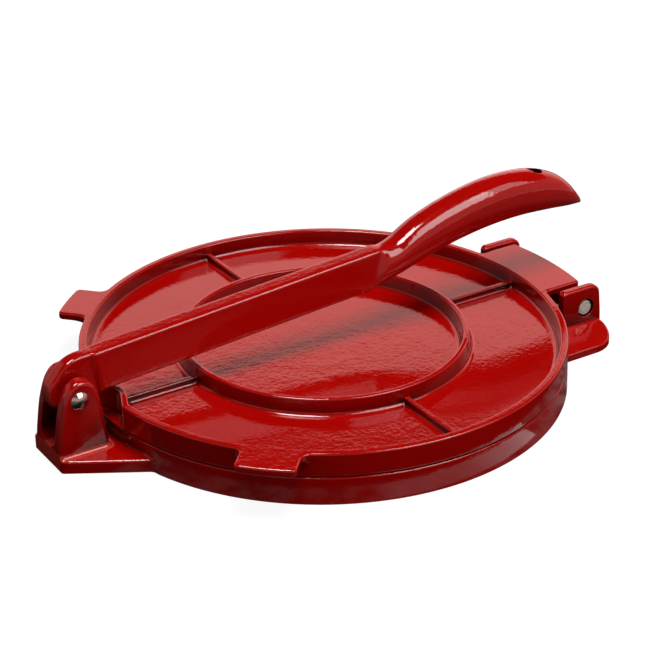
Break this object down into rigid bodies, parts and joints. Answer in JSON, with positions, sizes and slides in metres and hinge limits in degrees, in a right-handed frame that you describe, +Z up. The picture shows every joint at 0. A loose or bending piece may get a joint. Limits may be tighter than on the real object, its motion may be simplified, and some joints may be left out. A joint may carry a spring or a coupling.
{
  "type": "tortilla press",
  "caption": "Round cast tortilla press with a hinged upper plate and a long lever pivoted in a clevis, for pressing balls of dough flat.",
  "frame": {"origin": "on the table, under the middle of the closed press's bounding box", "axes": "+Z up, +Y towards the hinge and the handle's tip, -Y towards the clevis, +X to the side of the pivot's domed head"},
  "size_m": [0.2606, 0.3356, 0.0905],
  "materials": {
    "base_enamel": "glossy red enamel on cast aluminium",
    "plate_enamel": "glossy red enamel on cast aluminium",
    "lever_enamel": "glossy red enamel on cast aluminium",
    "post_chrome": "polished chrome",
    "screw_steel": "turned nickel-plated steel"
  },
  "bodies": {
    "base": {"base_casting": "base_enamel", "pivot_post": "post_chrome", "pivot_screw": "screw_steel"},
    "lid": {"upper_plate": "plate_enamel", "hinge_screw_right": "screw_steel", "hinge_screw_left": "screw_steel"},
    "lever_arm": {"lever": "lever_enamel"}
  },
  "joints": [
    {"name": "lever_hinge", "type": "hinge", "parent": "base", "child": "lever_arm", "pos_m": [0, -0.15475, 0.0366], "axis": [1, 0, 0], "range_deg": [0, 170]},
    {"name": "lid_hinge", "type": "hinge", "parent": "base", "child": "lid", "pos_m": [0, 0.14335, 0.0158], "axis": [-1, 0, 0], "range_deg": [0, 110]}
  ],
  "couplings": [
    {"joint": "lid_hinge", "follows": "lever_hinge", "ratio": 0.12}
  ]
}
